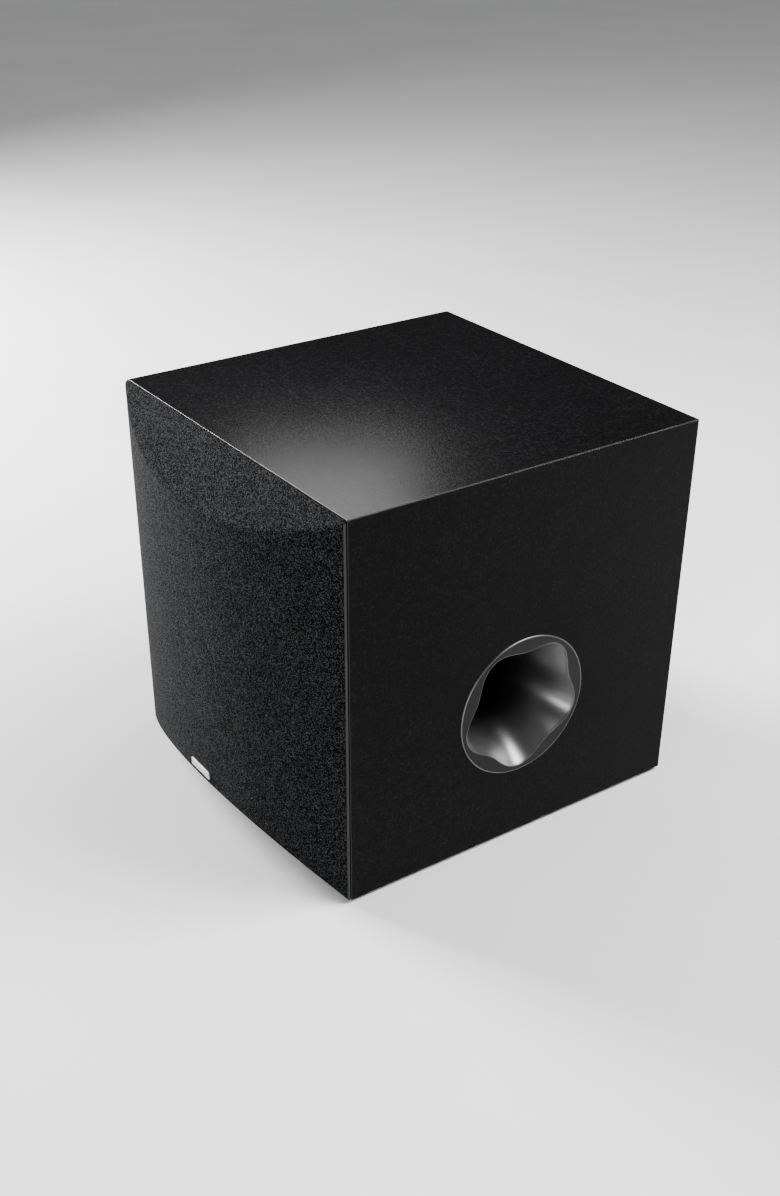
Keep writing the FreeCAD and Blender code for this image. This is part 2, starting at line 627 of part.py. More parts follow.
# Amplifier

def amp_panel():
    outer = centred("amp_w / 2", "amp_h / 2")
    well = centred("amp_w / 2 - well", "amp_h / 2 - well")
    screws = [("circle", x, z, "amp_screw_rad") for x, z in amp_screw_places()]
    piece(extruded("seal", "XZ", [outer, well, *screws], BACK, "seal_t"), "amp_gasket")
    holes = [("circle", f"-{x}", f"{MID} + knob_up", "shaft_rad + 0.6") for x in ("near_x", "far_x")]
    holes.append(("circle", "-far_x", f"{MID} + row_up", "button_rad + 0.2"))
    holes.append(("circle", "-far_x", f"{MID} + low_up", "3.1"))
    holes += [("circle", x, f"{MID} + jack_up", "4.6") for x in jack_places()]
    windows = (
        ("-near_x", "row_up", 4.5, 2.25), ("-near_x", "low_up", 5.5, 2.25),
        ("-mid_x", "rocker_up", 6.6, 9.6), ("-mid_x", "inlet_up", 11.1, 6.6),
    )
    for x, up, half_w, half_h in windows:
        low, high = f"{MID} + {up} - {half_h}", f"{MID} + {up} + {half_h}"
        holes.append(rectangle(f"{x} - {half_w}", low, f"{x} + {half_w}", high))
    piece(extruded("plate", "XZ", [outer, *screws, *holes], PLATE_IN, "amp_t"), "amp_plate")
    fixings = [
        screw("amp_screw", x, z, PLATE_OUT, "amp_screw_len", "amp_screw_rad", "amp_head_rad", "-amp_head_h")
        for x, z in amp_screw_places()
    ]
    piece(group("amp_fixings", fixings), "amp_screws")


def heat_sink():
    """A base with upright fins that reach the object's rearmost plane."""
    root, tip = f"{PLATE_OUT} + sink_base", f"{BACK} + rear_reach"
    step = "((sink_w - fin_t) / (fins - 1))"
    comb = [("sink_x", PLATE_OUT), ("sink_x", tip), ("sink_x + fin_t", tip)]
    for k in range(1, SIZES["fins"]):
        left, gap_start = f"sink_x + {k} * {step}", f"sink_x + {k - 1} * {step} + fin_t"
        comb += [(gap_start, root), (left, root), (left, tip), (f"{left} + fin_t", tip)]
    comb.append(("sink_x + sink_w", PLATE_OUT))
    piece(extruded("sink", "XY", [comb], f"{MID} - sink_h / 2", "sink_h"), "heat_sink")


def amp_boards():
    board_y = f"({PLATE_IN} - board_off)"
    low = f"{MID} - sink_h / 2"
    board = box("power_board", "2", f"{board_y} - board_t", low, "board_w", "board_t", "sink_h")
    piece(board, "main_board")
    posts, cans, chips = [], [], []
    for x in ("8", "84"):
        for z in (f"({MID} - sink_h / 2 + 6)", f"({MID} + sink_h / 2 - 6)"):
            posts.append(rod("post", "Y", x, board_y, z, "standoff_rad", "board_off"))
    piece(group("posts", posts), "board_standoffs")
    for x in ("24", "62"):
        cans.append(rod("can", "Y", x, f"{board_y} - board_t - can_len", f"{MID} - 60", "can_rad", "can_len"))
    piece(group("cans", cans), "amp_capacitors")
    chip_x = "sink_x + sink_w / 2 - chip_w / 2"
    for k in range(4):
        z = f"{MID} - 62 + {k} * 36"
        chips.append(box("chip", chip_x, f"{PLATE_IN} - chip_t", z, "chip_w", "chip_t", "chip_h"))
    piece(group("chips", chips), "power_transistors")
    small = box("input_board", "-88", f"{PLATE_IN} - case_d - board_t", f"{MID} - 14", "76", "board_t", "124")
    piece(small, "preamp_board")


def jack_places():
    return [f"(-mid_x - {side} * jack_pitch / 2)" for side in (-1, 1)]


def rotary_control(name, x):
    """A potentiometer behind the plate, its shaft and a fluted knob with a pointer slot."""
    z = f"{MID} + knob_up"
    back, snug, collar = f"{PLATE_IN} - case_d", "shaft_rad + play", "shaft_rad + 0.5"
    case = [
        (snug, back), ("pot_rad", back), ("pot_rad", f"{PLATE_IN} - 4"), (collar, f"{PLATE_IN} - 4"),
        (collar, f"{PLATE_OUT} + 0.4"), (snug, f"{PLATE_OUT} + 0.4"),
    ]
    pot = revolved(name + "_pot", "Y", case, x=x, z=z)
    shaft = rod(name + "_rod", "Y", x, f"{back} + 1", z, "shaft_rad", "case_d + 12")
    piece(shaft, name + "_shaft")
    near, end = f"({PLATE_IN} + knob_off)", f"({PLATE_IN} + knob_off + knob_len)"
    bore_end = f"({back} + 1 + case_d + 12)"
    skirt = "knob_rad - 2.2"
    profile = [
        ("0", bore_end), ("shaft_rad", bore_end), ("shaft_rad", f"{near} + 1"),
        ("shaft_rad + 2", f"{near} + 1"), ("shaft_rad + 2", f"{near} + 10"), (skirt, f"{near} + 10"),
        (skirt, near), ("knob_rad", near),
        ("knob_rad - 0.7", f"{end} - 0.8"), ("knob_rad - 1.5", end), ("0", end),
    ]
    knob = revolved(name + "_body", "Y", profile, x=x, z=z)
    flute = pocketed(knob, "XZ", [("circle", "0", "knob_rad + 0.25", "0.8")])
    patterned(knob, flute, 24)
    pointer = box(name + "_pointer", f"{x} - 0.6", f"{end} - 0.7", f"{z} + 3", "1.2", "2", "knob_rad - 2.5")
    piece(cut(name + "_marked", knob, [pointer]), name + "_knob")
    return pot


def sliding_switch(name, x, up, throw, start):
    """A slide switch: its case behind the plate and the slider that shows through the plate's slot."""
    z = f"({MID} + {up})"
    wide, tall = f"(slider + {throw} + 0.4)", "(slider + 0.4)"
    case = box(name + "_block", f"{x} - 7", f"{PLATE_IN} - case_d", f"{z} - 4", "14", "case_d", "8")
    slot = box(name + "_slot", f"{x} - {wide} / 2", f"{PLATE_IN} - 4", f"{z} - {tall} / 2", wide, "5", tall)
    lever_x, inner = f"{x} + {start} - slider / 2", f"{PLATE_IN} - 3.8"
    lever = box(name + "_lever", lever_x, inner, f"{z} - slider / 2", "slider", "slider_out + 3.8", "slider")
    piece(lever, name + "_slider")
    return cut(name + "_case", case, [slot])


def push_switch():
    z = f"{MID} + row_up"
    case = box("mode_block", "-far_x - 6", f"{PLATE_IN} - case_d", f"{z} - 6", "12", "case_d", "12")
    bore = rod("mode_bore", "Y", "-far_x", f"{PLATE_IN} - 8", z, "button_rad + 0.1", "9")
    inner, end = f"{PLATE_IN} - 3", f"{PLATE_IN} + button_out"
    profile = [
        ("0", inner), ("button_rad", inner), ("button_rad", f"{end} - 0.8"), ("button_rad - 0.8", end),
        ("0", end),
    ]
    piece(revolved("mode_key", "Y", profile, x="-far_x", z=z), "mode_button")
    return cut("mode_case", case, [bore])


def rocker_switch():
    """A mains rocker that stands tipped 9 degrees at rest, in the off position, on pins in its housing."""
    z, pin_y = f"({MID} + rocker_up)", f"({PLATE_IN} + 1)"
    body = box("rocker_case", "-mid_x - 6.5", f"{PLATE_IN} - 18", f"{z} - 9.5", "13", "18 + amp_t", "19")
    brim = box("rocker_brim", "-mid_x - 7.75", PLATE_OUT, f"{z} - 10.75", "15.5", "1.2", "21.5")
    hollow = box("rocker_hollow", "-mid_x - 5.2", f"{PLATE_IN} - 9", f"{z} - 8.2", "10.4", "20", "16.4")
    hole = rod("pin_hole", "X", "-mid_x - 6.2", pin_y, z, "1.25", "12.4")
    housing = fused("rocker_housing", [body, brim])
    piece(cut("rocker_housing_cut", housing, [hollow, hole]), "power_switch_case")

    profile = [
        ("4.2", "0"), ("6", "7"), ("0", "6.2"), ("-5", "2.5"), ("-5", "-2.5"), ("0", "-6.2"), ("6", "-7"),
    ]
    key = extruded("rocker_key", "YZ", [profile], "-5", "10")
    axle = rod("rocker_axle", "X", "-6.1", "0", "0", "1.2", "12.2")
    rocker = fused("rocker_whole", [key, axle])
    rocker.Placement.Rotation = Rotation(Vector(1, 0, 0), -9)
    for letter, text in zip("xyz", ("-mid_x", pin_y, z)):
        rocker.setExpression("Placement.Base." + letter, bound(text))
    piece(rocker, "power_rocker")


def sockets_at_the_back():
    """Two line inputs, a control jack and a two-pin mains inlet."""
    z = f"{MID} + jack_up"
    barrels, inserts = [], []
    inner, mouth, hex_end = f"{PLATE_IN} - case_d", f"{PLATE_OUT} + 9", f"{PLATE_OUT} + 1.5"
    shell = [
        ("3.4", mouth), ("4.15", mouth), ("4.15", hex_end), ("5.6", hex_end), ("5.6", PLATE_OUT),
        ("4.5", PLATE_OUT), ("4.5", inner), ("3.4", inner),
    ]
    core = [
        ("0", inner), ("3.4", inner), ("3.4", f"{mouth} - 0.4"), ("1.7", f"{mouth} - 0.4"),
        ("1.7", PLATE_IN), ("0", PLATE_IN),
    ]
    for x in jack_places():
        barrels.append(revolved("barrel", "Y", shell, x=x, z=z))
        inserts.append(revolved("insert", "Y", core, x=x, z=z))
    piece(group("barrels", barrels), "line_jack_barrels")
    piece(group("inserts", inserts), "line_jack_inserts")
    lip, step = f"{PLATE_OUT} + 1.6", f"{PLATE_IN} - 3"
    jack = [("1.8", lip), ("3", lip), ("3", step), ("4.5", step), ("4.5", inner), ("1.8", inner)]
    piece(revolved("mini_jack", "Y", jack, x="-far_x", z=f"{MID} + low_up"), "control_jack")

    z = f"({MID} + inlet_up)"
    body = box("inlet_body", "-mid_x - 11", f"{PLATE_IN} - 18", f"{z} - 6.5", "22", "18 + amp_t", "13")
    brim = box("inlet_brim", "-mid_x - 13.5", PLATE_OUT, f"{z} - 8.5", "27", "1.5", "17")
    hollow = box("inlet_hollow", "-mid_x - 8.75", f"{PLATE_IN} - 10", f"{z} - 4.6", "17.5", "16", "9.2")
    piece(cut("inlet_cut", fused("inlet_solid", [body, brim]), [hollow]), "mains_inlet")
    pins = [rod("pin", "Y", f"-mid_x + {dx}", f"{PLATE_IN} - 10", z, "1.2", "9.5") for dx in (-4.3, 4.3)]
    piece(group("pins", pins), "inlet_pins")


def transformer():
    """A laminated core on the cabinet floor with a winding round its middle leg."""
    x0, y0 = "-(far_x + 8)", f"({PORT_Y} + 76)"
    low, high = FLOOR, f"({FLOOR} + core_h)"
    outline = rectangle(f"{x0} - core_w / 2", low, f"{x0} + core_w / 2", high)
    gaps = []
    for side in (-1, 1):
        near, far = f"{x0} + {side} * leg / 2", f"{x0} + {side} * (leg / 2 + core_window)"
        gaps.append(rectangle(near, f"{low} + core_window", far, f"{high} - core_window"))
    piece(extruded("core", "XZ", [outline, *gaps], f"{y0} - core_d / 2", "core_d"), "transformer_core")
    loops = []
    for over in ("coil_over", "0"):
        wide, deep = f"(leg / 2 + {over})", f"(core_d / 2 + {over})"
        loops.append(rectangle(f"{x0} - {wide}", f"{y0} - {deep}", f"{x0} + {wide}", f"{y0} + {deep}"))
    coil = extruded("coil", "XY", loops, f"{low} + core_window", "core_h - 2 * core_window")
    piece(coil, "transformer_coil")


def wire(points, radius):
    """A round wire along straight runs joined by arcs, each arc as large as its two runs allow."""
    corners = [Vector(*(value(c) for c in p)) for p in points]
    edges, here = [], corners[0]
    for before, corner, after in zip(corners, corners[1:], corners[2:]):
        back, on = (before - corner), (after - corner)
        reach = 0.45 * min(back.Length, on.Length)
        back.normalize()
        on.normalize()
        start, end = corner + back * reach, corner + on * reach
        half_turn = (math.pi - back.getAngle(on)) / 2
        bend = reach / math.tan(half_turn)
        towards = (back + on).normalize()
        middle = corner + towards * (bend / math.cos(half_turn) - bend)
        edges += [Part.LineSegment(here, start).toShape(), Part.Arc(start, middle, end).toShape()]
        here = end
    edges.append(Part.LineSegment(here, corners[-1]).toShape())
    path = Part.Wire(edges)
    along = corners[1] - corners[0]
    ring = Part.Wire(Part.Circle(corners[0], along, radius).toShape())
    return path.makePipeShell([ring], True, False, 2)


def speaker_leads():
    """The driver's two leads, from its terminal tabs down to the power board."""
    leads = []
    top, board = f"({MID} + bowl_rad + 14)", f"({PLATE_IN} - board_off - board_t)"
    for offset, tab in (("0", "-5.5"), ("4", "5.5")):
        route = [
            (tab, at("plate_at - 9"), top),
            (tab, at("plate_at - 9"), f"{top} + 9"),
            (f"22 + {offset}", at("plate_at + 14"), f"{top} + 5"),
            (f"40 + {offset}", at("plate_at + 60"), f"{MID} + 46"),
            (f"52 + {offset}", f"{PORT_Y} + 10", f"{MID} + 14 - {offset}"),
            (f"50 + {offset}", f"{PORT_Y} + 64", f"{MID} + 8"),
            (f"44 + {offset}", f"{board} - 22", f"{MID} + 30"),
            (f"44 + {offset}", board, f"{MID} + 30"),
        ]
        leads.append(wire(route, 1.3))
    pair = doc.addObject("Part::Feature", "leads")
    pair.Shape = Part.Compound(leads)
    piece(pair, "speaker_leads")


def amplifier():
    amp_panel()
    heat_sink()
    amp_boards()
    pots = [rotary_control("volume", "-near_x"), rotary_control("high_cut", "-far_x")]
    piece(group("pots", pots), "control_pots")
    cases = [
        sliding_switch("phase", "-near_x", "row_up", "phase_throw", "-phase_throw / 2"),
        sliding_switch("standby", "-near_x", "low_up", "2 * standby_throw", "0"),
        push_switch(),
    ]
    piece(group("cases", cases), "switch_cases")
    rocker_switch()
    sockets_at_the_back()
    transformer()
    speaker_leads()


def check_and_write():
    doc.recompute()
    for obj in doc.Objects:
        faults = [state for state in obj.State if state in ("Invalid", "Error")]
        if faults:
            raise RuntimeError(f"{obj.Name} ({obj.Label}) is {faults}")
    os.makedirs("parts", exist_ok=True)
    for obj in pieces:
        shape = obj.Shape
        if shape.isNull() or not shape.isValid() or not shape.Solids:
            raise RuntimeError(f"{obj.Label} has no valid solid")
        shape.exportStep(f"parts/{obj.Label}.step")
        print(f"{obj.Label}: {len(shape.Solids)} solids, {shape.Volume / 1000:.2f} cm3")
    print(len(pieces), "nodes")


wrap_panels()
back_panel()
front_baffle()
stiffening()
feet()
grille()
port()
driver()
amplifier()
check_and_write()
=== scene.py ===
import json
import math

import bpy
from mathutils import Matrix, Vector, noise


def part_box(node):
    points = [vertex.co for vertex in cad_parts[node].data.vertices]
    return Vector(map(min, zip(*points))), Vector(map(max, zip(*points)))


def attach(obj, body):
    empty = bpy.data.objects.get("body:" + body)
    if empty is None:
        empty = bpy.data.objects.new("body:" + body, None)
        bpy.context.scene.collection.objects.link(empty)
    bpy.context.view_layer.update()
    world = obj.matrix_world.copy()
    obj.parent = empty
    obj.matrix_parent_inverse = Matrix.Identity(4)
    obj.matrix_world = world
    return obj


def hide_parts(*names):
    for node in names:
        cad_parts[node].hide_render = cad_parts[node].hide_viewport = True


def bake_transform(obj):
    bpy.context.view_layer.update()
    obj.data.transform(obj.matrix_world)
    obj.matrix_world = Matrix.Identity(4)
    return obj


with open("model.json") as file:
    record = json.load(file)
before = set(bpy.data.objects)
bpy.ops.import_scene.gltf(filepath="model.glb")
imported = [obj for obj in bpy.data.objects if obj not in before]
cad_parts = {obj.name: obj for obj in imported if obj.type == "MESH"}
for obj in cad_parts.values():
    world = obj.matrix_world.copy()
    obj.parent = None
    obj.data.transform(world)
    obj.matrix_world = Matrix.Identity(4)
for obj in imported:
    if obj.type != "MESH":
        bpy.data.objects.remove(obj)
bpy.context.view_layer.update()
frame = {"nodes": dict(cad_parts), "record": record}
NODES = frame["nodes"]

# Shared places, in metres, read from the CAD model
SIDE_LO, SIDE_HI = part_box("right_panel")
FACE_X = SIDE_HI.x
FRONT_Y = SIDE_LO.y
TOP_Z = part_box("top_panel")[1].z
BOTTOM_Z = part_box("bottom_panel")[0].z
MID_Z = (TOP_Z + BOTTOM_Z) / 2
CLOTH_LO, CLOTH_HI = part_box("grille_cloth")
GRILLE_Y = CLOTH_HI.y
PORT_LO, PORT_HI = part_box("port_flare")
PORT_Y = (PORT_LO.y + PORT_HI.y) / 2
PORT_Z = (PORT_LO.z + PORT_HI.z) / 2
JACKS_LO, JACKS_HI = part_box("line_jack_inserts")
JACKS_X = (JACKS_LO.x + JACKS_HI.x) / 2
PLATE_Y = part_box("amp_plate")[1].y


# Materials

class Shade:
    """A procedural material: a principled shader with patterns laid out in the object's frame, in metres."""

    def __init__(self, name, color, roughness, metallic=0.0, **inputs):
        self.material = bpy.data.materials.new(name)
        self.material.use_nodes = True
        self.tree = self.material.node_tree
        self.shader = next(n for n in self.tree.nodes if n.type == "BSDF_PRINCIPLED")
        self.shader.inputs["Base Color"].default_value = (*color, 1)
        self.shader.inputs["Roughness"].default_value = roughness
        self.shader.inputs["Metallic"].default_value = metallic
        for key, number in inputs.items():
            self.shader.inputs[key.replace("_", " ")].default_value = number
        self.material.diffuse_color = (*color, 1)
        self.place = self.tree.nodes.new("ShaderNodeTexCoord").outputs["Object"]
        self.normal = None

    def node(self, kind, **settings):
        made = self.tree.nodes.new(kind)
        for key, setting in settings.items():
            setattr(made, key, setting)
        return made

    def link(self, output, socket):
        self.tree.links.new(output, socket)

    def stretched(self, scale):
        mapping = self.node("ShaderNodeMapping")
        mapping.inputs["Scale"].default_value = scale
        self.link(self.place, mapping.inputs["Vector"])
        return mapping.outputs["Vector"]

    def noise(self, scale, detail=3, rough=0.55, stretch=None):
        made = self.node("ShaderNodeTexNoise")
        made.inputs["Scale"].default_value = scale
        made.inputs["Detail"].default_value = detail
        made.inputs["Roughness"].default_value = rough
        self.link(self.stretched(stretch) if stretch else self.place, made.inputs["Vector"])
        return made.outputs["Fac"]

    def cells(self, scale, feature="F1"):
        made = self.node("ShaderNodeTexVoronoi", feature=feature)
        made.inputs["Scale"].default_value = scale
        self.link(self.place, made.inputs["Vector"])
        return made.outputs

    def math(self, operation, a, b):
        made = self.node("ShaderNodeMath", operation=operation)
        for socket, term in zip(made.inputs, (a, b)):
            if isinstance(term, (int, float)):
                socket.default_value = term
            else:
                self.link(term, socket)
        return made.outputs[0]

    def ramp(self, fac, *stops):
        made = self.node("ShaderNodeValToRGB")
        elements = made.color_ramp.elements
        while len(elements) < len(stops):
            elements.new(0.5)
        for element, (at, color) in zip(elements, stops):
            element.position = at
            element.color = (*color, 1) if len(color) == 3 else color
        self.link(fac, made.inputs["Fac"])
        return made.outputs["Color"]

    def spread(self, fac, low, high):
        made = self.node("ShaderNodeMapRange")
        made.inputs["To Min"].default_value = low
        made.inputs["To Max"].default_value = high
        self.link(fac, made.inputs["Value"])
        return made.outputs["Result"]

    def color(self, output):
        self.link(output, self.shader.inputs["Base Color"])
        return self

    def roughness(self, fac, low, high):
        self.link(self.spread(fac, low, high), self.shader.inputs["Roughness"])
        return self

    def bump(self, height, distance, strength=1.0):
        """Adds relief of that depth in metres on top of any relief there already is."""
        made = self.node("ShaderNodeBump")
        made.inputs["Distance"].default_value = distance
        made.inputs["Strength"].default_value = strength
        self.link(height, made.inputs["Height"])
        if self.normal is not None:
            self.link(self.normal, made.inputs["Normal"])
        self.normal = made.outputs["Normal"]
        self.link(self.normal, self.shader.inputs["Normal"])
        return self


def tones(color, *factors):
    """Lighter or darker versions of a colour."""
    return [tuple(min(1, c * f) for c in color) for f in factors]


def textured(name, color, roughness, metallic=0.0, grain=900, depth=0.00003, spread=0.25, blotch=14,
             wear=0.12, **inputs):
    """Moulded, painted or cast stuff: slow blotches of tone, a fine grain in the relief, uneven gloss."""
    s = Shade(name, color, roughness, metallic, **inputs)
    dark, plain, light = tones(color, 1 - spread, 1, 1 + spread)
    slow = s.noise(blotch, 5)
    fine = s.noise(grain, 2)
    mixed = s.math("ADD", s.math("MULTIPLY", slow, 0.6), s.math("MULTIPLY", fine, 0.4))
    s.color(s.ramp(mixed, (0.3, dark), (0.5, plain), (0.7, light)))
    s.roughness(mixed, max(0.03, roughness - wear), min(1, roughness + wear))
    return s.bump(fine, depth)


def vinyl():
    """Black pebbled wrap: small pits and a faint sparkle over a satin sheen."""
    s = Shade("vinyl_wrap", (0.005, 0.005, 0.0055), 0.36, Specular_IOR_Level=0.11)
    pits = s.cells(1150, "SMOOTH_F1")
    speck = s.cells(640)
    slow = s.noise(7, 4)
    grit = s.math("ADD", s.math("MULTIPLY", speck["Color"], 0.7), s.math("MULTIPLY", slow, 0.3))
    dark, mid, light = (0.0018, 0.0018, 0.0021), (0.0036, 0.0036, 0.004), (0.013, 0.013, 0.0145)
    s.color(s.ramp(grit, (0.25, dark), (0.6, mid), (0.92, light)))
    s.roughness(grit, 0.35, 0.5)
    s.bump(pits["Distance"], 0.00014, 0.6)
    return s.bump(slow, 0.0003, 0.2)


def knit():
    """Stretched knitted cloth: small loops that catch the light unevenly, like salt and pepper."""
    s = Shade("grille_cloth", (0.006, 0.006, 0.0066), 0.95, Sheen_Weight=0.03, Sheen_Roughness=0.4,
              Specular_IOR_Level=0.04)
    loops = s.cells(1500)
    slow = s.noise(26, 3)
    tone = s.math("ADD", s.math("MULTIPLY", loops["Color"], 0.92), s.math("MULTIPLY", slow, 0.08))
    dark, mid, light = (0.0005, 0.0005, 0.0006), (0.0028, 0.0029, 0.0031), (0.06, 0.062, 0.065)
    s.color(s.ramp(tone, (0.32, dark), (0.5, mid), (0.78, light)))
    return s.bump(loops["Distance"], -0.0003, 0.8)


def raw_wood(name, color):
    """Bare wood with its grain along Y."""
    s = Shade(name, color, 0.75)
    rings = s.noise(60, 6, stretch=(8, 0.6, 8))
    dark, light = tones(color, 0.7, 1.25)
    s.color(s.ramp(rings, (0.35, dark), (0.65, light)))
    s.roughness(rings, 0.65, 0.9)
    return s.bump(rings, 0.0002)


def fibreboard():
    """Black-stained fibreboard with its felted fibres showing faintly."""
    s = Shade("bare_board", (0.022, 0.022, 0.023), 0.75)
    fibres = s.noise(520, 6, 0.7)
    s.color(s.ramp(fibres, (0.35, (0.012, 0.012, 0.012)), (0.7, (0.034, 0.033, 0.032))))
    s.roughness(fibres, 0.62, 0.9)
    return s.bump(fibres, 0.00012)


def brushed(name, color, roughness, stretch):
    """Metal with fine lines, drawn out along the axis of the smallest stretch."""
    s = Shade(name, color, roughness, 1.0)
    lines = s.noise(300, 4, stretch=stretch)
    dark, light = tones(color, 0.82, 1.12)
    s.color(s.ramp(lines, (0.3, dark), (0.7, light)))
    s.roughness(lines, roughness * 0.7, roughness * 1.4)
    return s.bump(lines, 0.00002)


def circuit():
    """Green lacquered board: darker copper areas under the lacquer in rows of blocks, with darker lines
    between.
    """
    s = Shade("circuit_board", (0.015, 0.12, 0.05), 0.35, Coat_Weight=0.4, Coat_Roughness=0.15)
    tracks = s.node("ShaderNodeTexBrick")
    tracks.inputs["Scale"].default_value = 60
    tracks.inputs["Color1"].default_value = (0.012, 0.1, 0.045, 1)
    tracks.inputs["Color2"].default_value = (0.018, 0.14, 0.06, 1)
    tracks.inputs["Mortar"].default_value = (0.01, 0.07, 0.03, 1)
    turned = s.node("ShaderNodeMapping")
    turned.inputs["Rotation"].default_value = (math.pi / 2, 0, 0)
    s.link(s.place, turned.inputs["Vector"])
    s.link(turned.outputs["Vector"], tracks.inputs["Vector"])
    s.color(tracks.outputs["Color"])
    return s.bump(tracks.outputs["Fac"], 0.00005)


def cone_pulp():
    """Pressed paper pulp, dark, with paler fibres."""
    s = Shade("cone_paper", (0.022, 0.022, 0.024), 0.62)
    fibres = s.noise(260, 8, 0.75)
    dark, mid, light = (0.012, 0.012, 0.013), (0.022, 0.022, 0.024), (0.05, 0.05, 0.052)
    s.color(s.ramp(fibres, (0.3, dark), (0.55, mid), (0.8, light)))
    s.roughness(fibres, 0.5, 0.8)
    return s.bump(fibres, 0.00025)


def woven(name, color, scale, depth):
    """Plain weave: two sets of threads over and under each other."""
    s = Shade(name, color, 0.85, Sheen_Weight=0.3)
    bands = []
    for direction in ("X", "Z"):
        wave = s.node("ShaderNodeTexWave", bands_direction=direction)
        wave.inputs["Scale"].default_value = scale
        s.link(s.place, wave.inputs["Vector"])
        bands.append(wave.outputs["Fac"])
    weave = s.math("MULTIPLY", *bands)
    dark, light = tones(color, 0.6, 1.2)
    s.color(s.ramp(weave, (0.1, dark), (0.7, light)))
    return s.bump(weave, depth)


def wadding_fluff():
    """Loose white polyester fibre."""
    s = Shade("wadding", (0.72, 0.72, 0.7), 0.95, Sheen_Weight=0.6)
    fluff = s.noise(160, 8, 0.8)
    s.color(s.ramp(fluff, (0.3, (0.5, 0.5, 0.49)), (0.7, (0.82, 0.82, 0.8))))
    return s.bump(fluff, 0.002)


def lamination():
    """A stack of thin steel sheets, seen from their edges."""
    s = Shade("core_steel", (0.28, 0.28, 0.29), 0.45, 0.9)
    wave = s.node("ShaderNodeTexWave", bands_direction="Y")
    wave.inputs["Scale"].default_value = 600
    s.link(s.place, wave.inputs["Vector"])
    s.color(s.ramp(wave.outputs["Fac"], (0.2, (0.1, 0.1, 0.11)), (0.6, (0.32, 0.32, 0.33))))
    return s.bump(wave.outputs["Fac"], 0.0001)


def wound(name, color, axis, pitch):
    """Turns of wire side by side along an axis."""
    s = Shade(name, color, 0.3, 0.9)
    wave = s.node("ShaderNodeTexWave", bands_direction=axis, wave_profile="SIN")
    wave.inputs["Scale"].default_value = 1 / pitch / 3
    s.link(s.place, wave.inputs["Vector"])
    dark, light = tones(color, 0.4, 1.1)
    s.color(s.ramp(wave.outputs["Fac"], (0.1, dark), (0.7, light)))
    return s.bump(wave.outputs["Fac"], 0.0002)


def two_colours(name, one, other, border):
    """Moulded plastic in one colour on the -X side of a border and another past it."""
    s = Shade(name, other, 0.38)
    place = s.node("ShaderNodeSeparateXYZ")
    s.link(s.place, place.inputs["Vector"])
    side = s.math("GREATER_THAN", place.outputs["X"], border)
    grain = s.noise(900, 2)
    s.color(s.ramp(s.math("ADD", s.math("MULTIPLY", side, 0.8), s.math("MULTIPLY", grain, 0.2)),
                   (0.1, one), (0.2, tones(one, 1.15)[0]), (0.85, tones(other, 0.9)[0]), (1.0, other)))
    s.roughness(grain, 0.3, 0.46)
    return s.bump(grain, 0.00002)


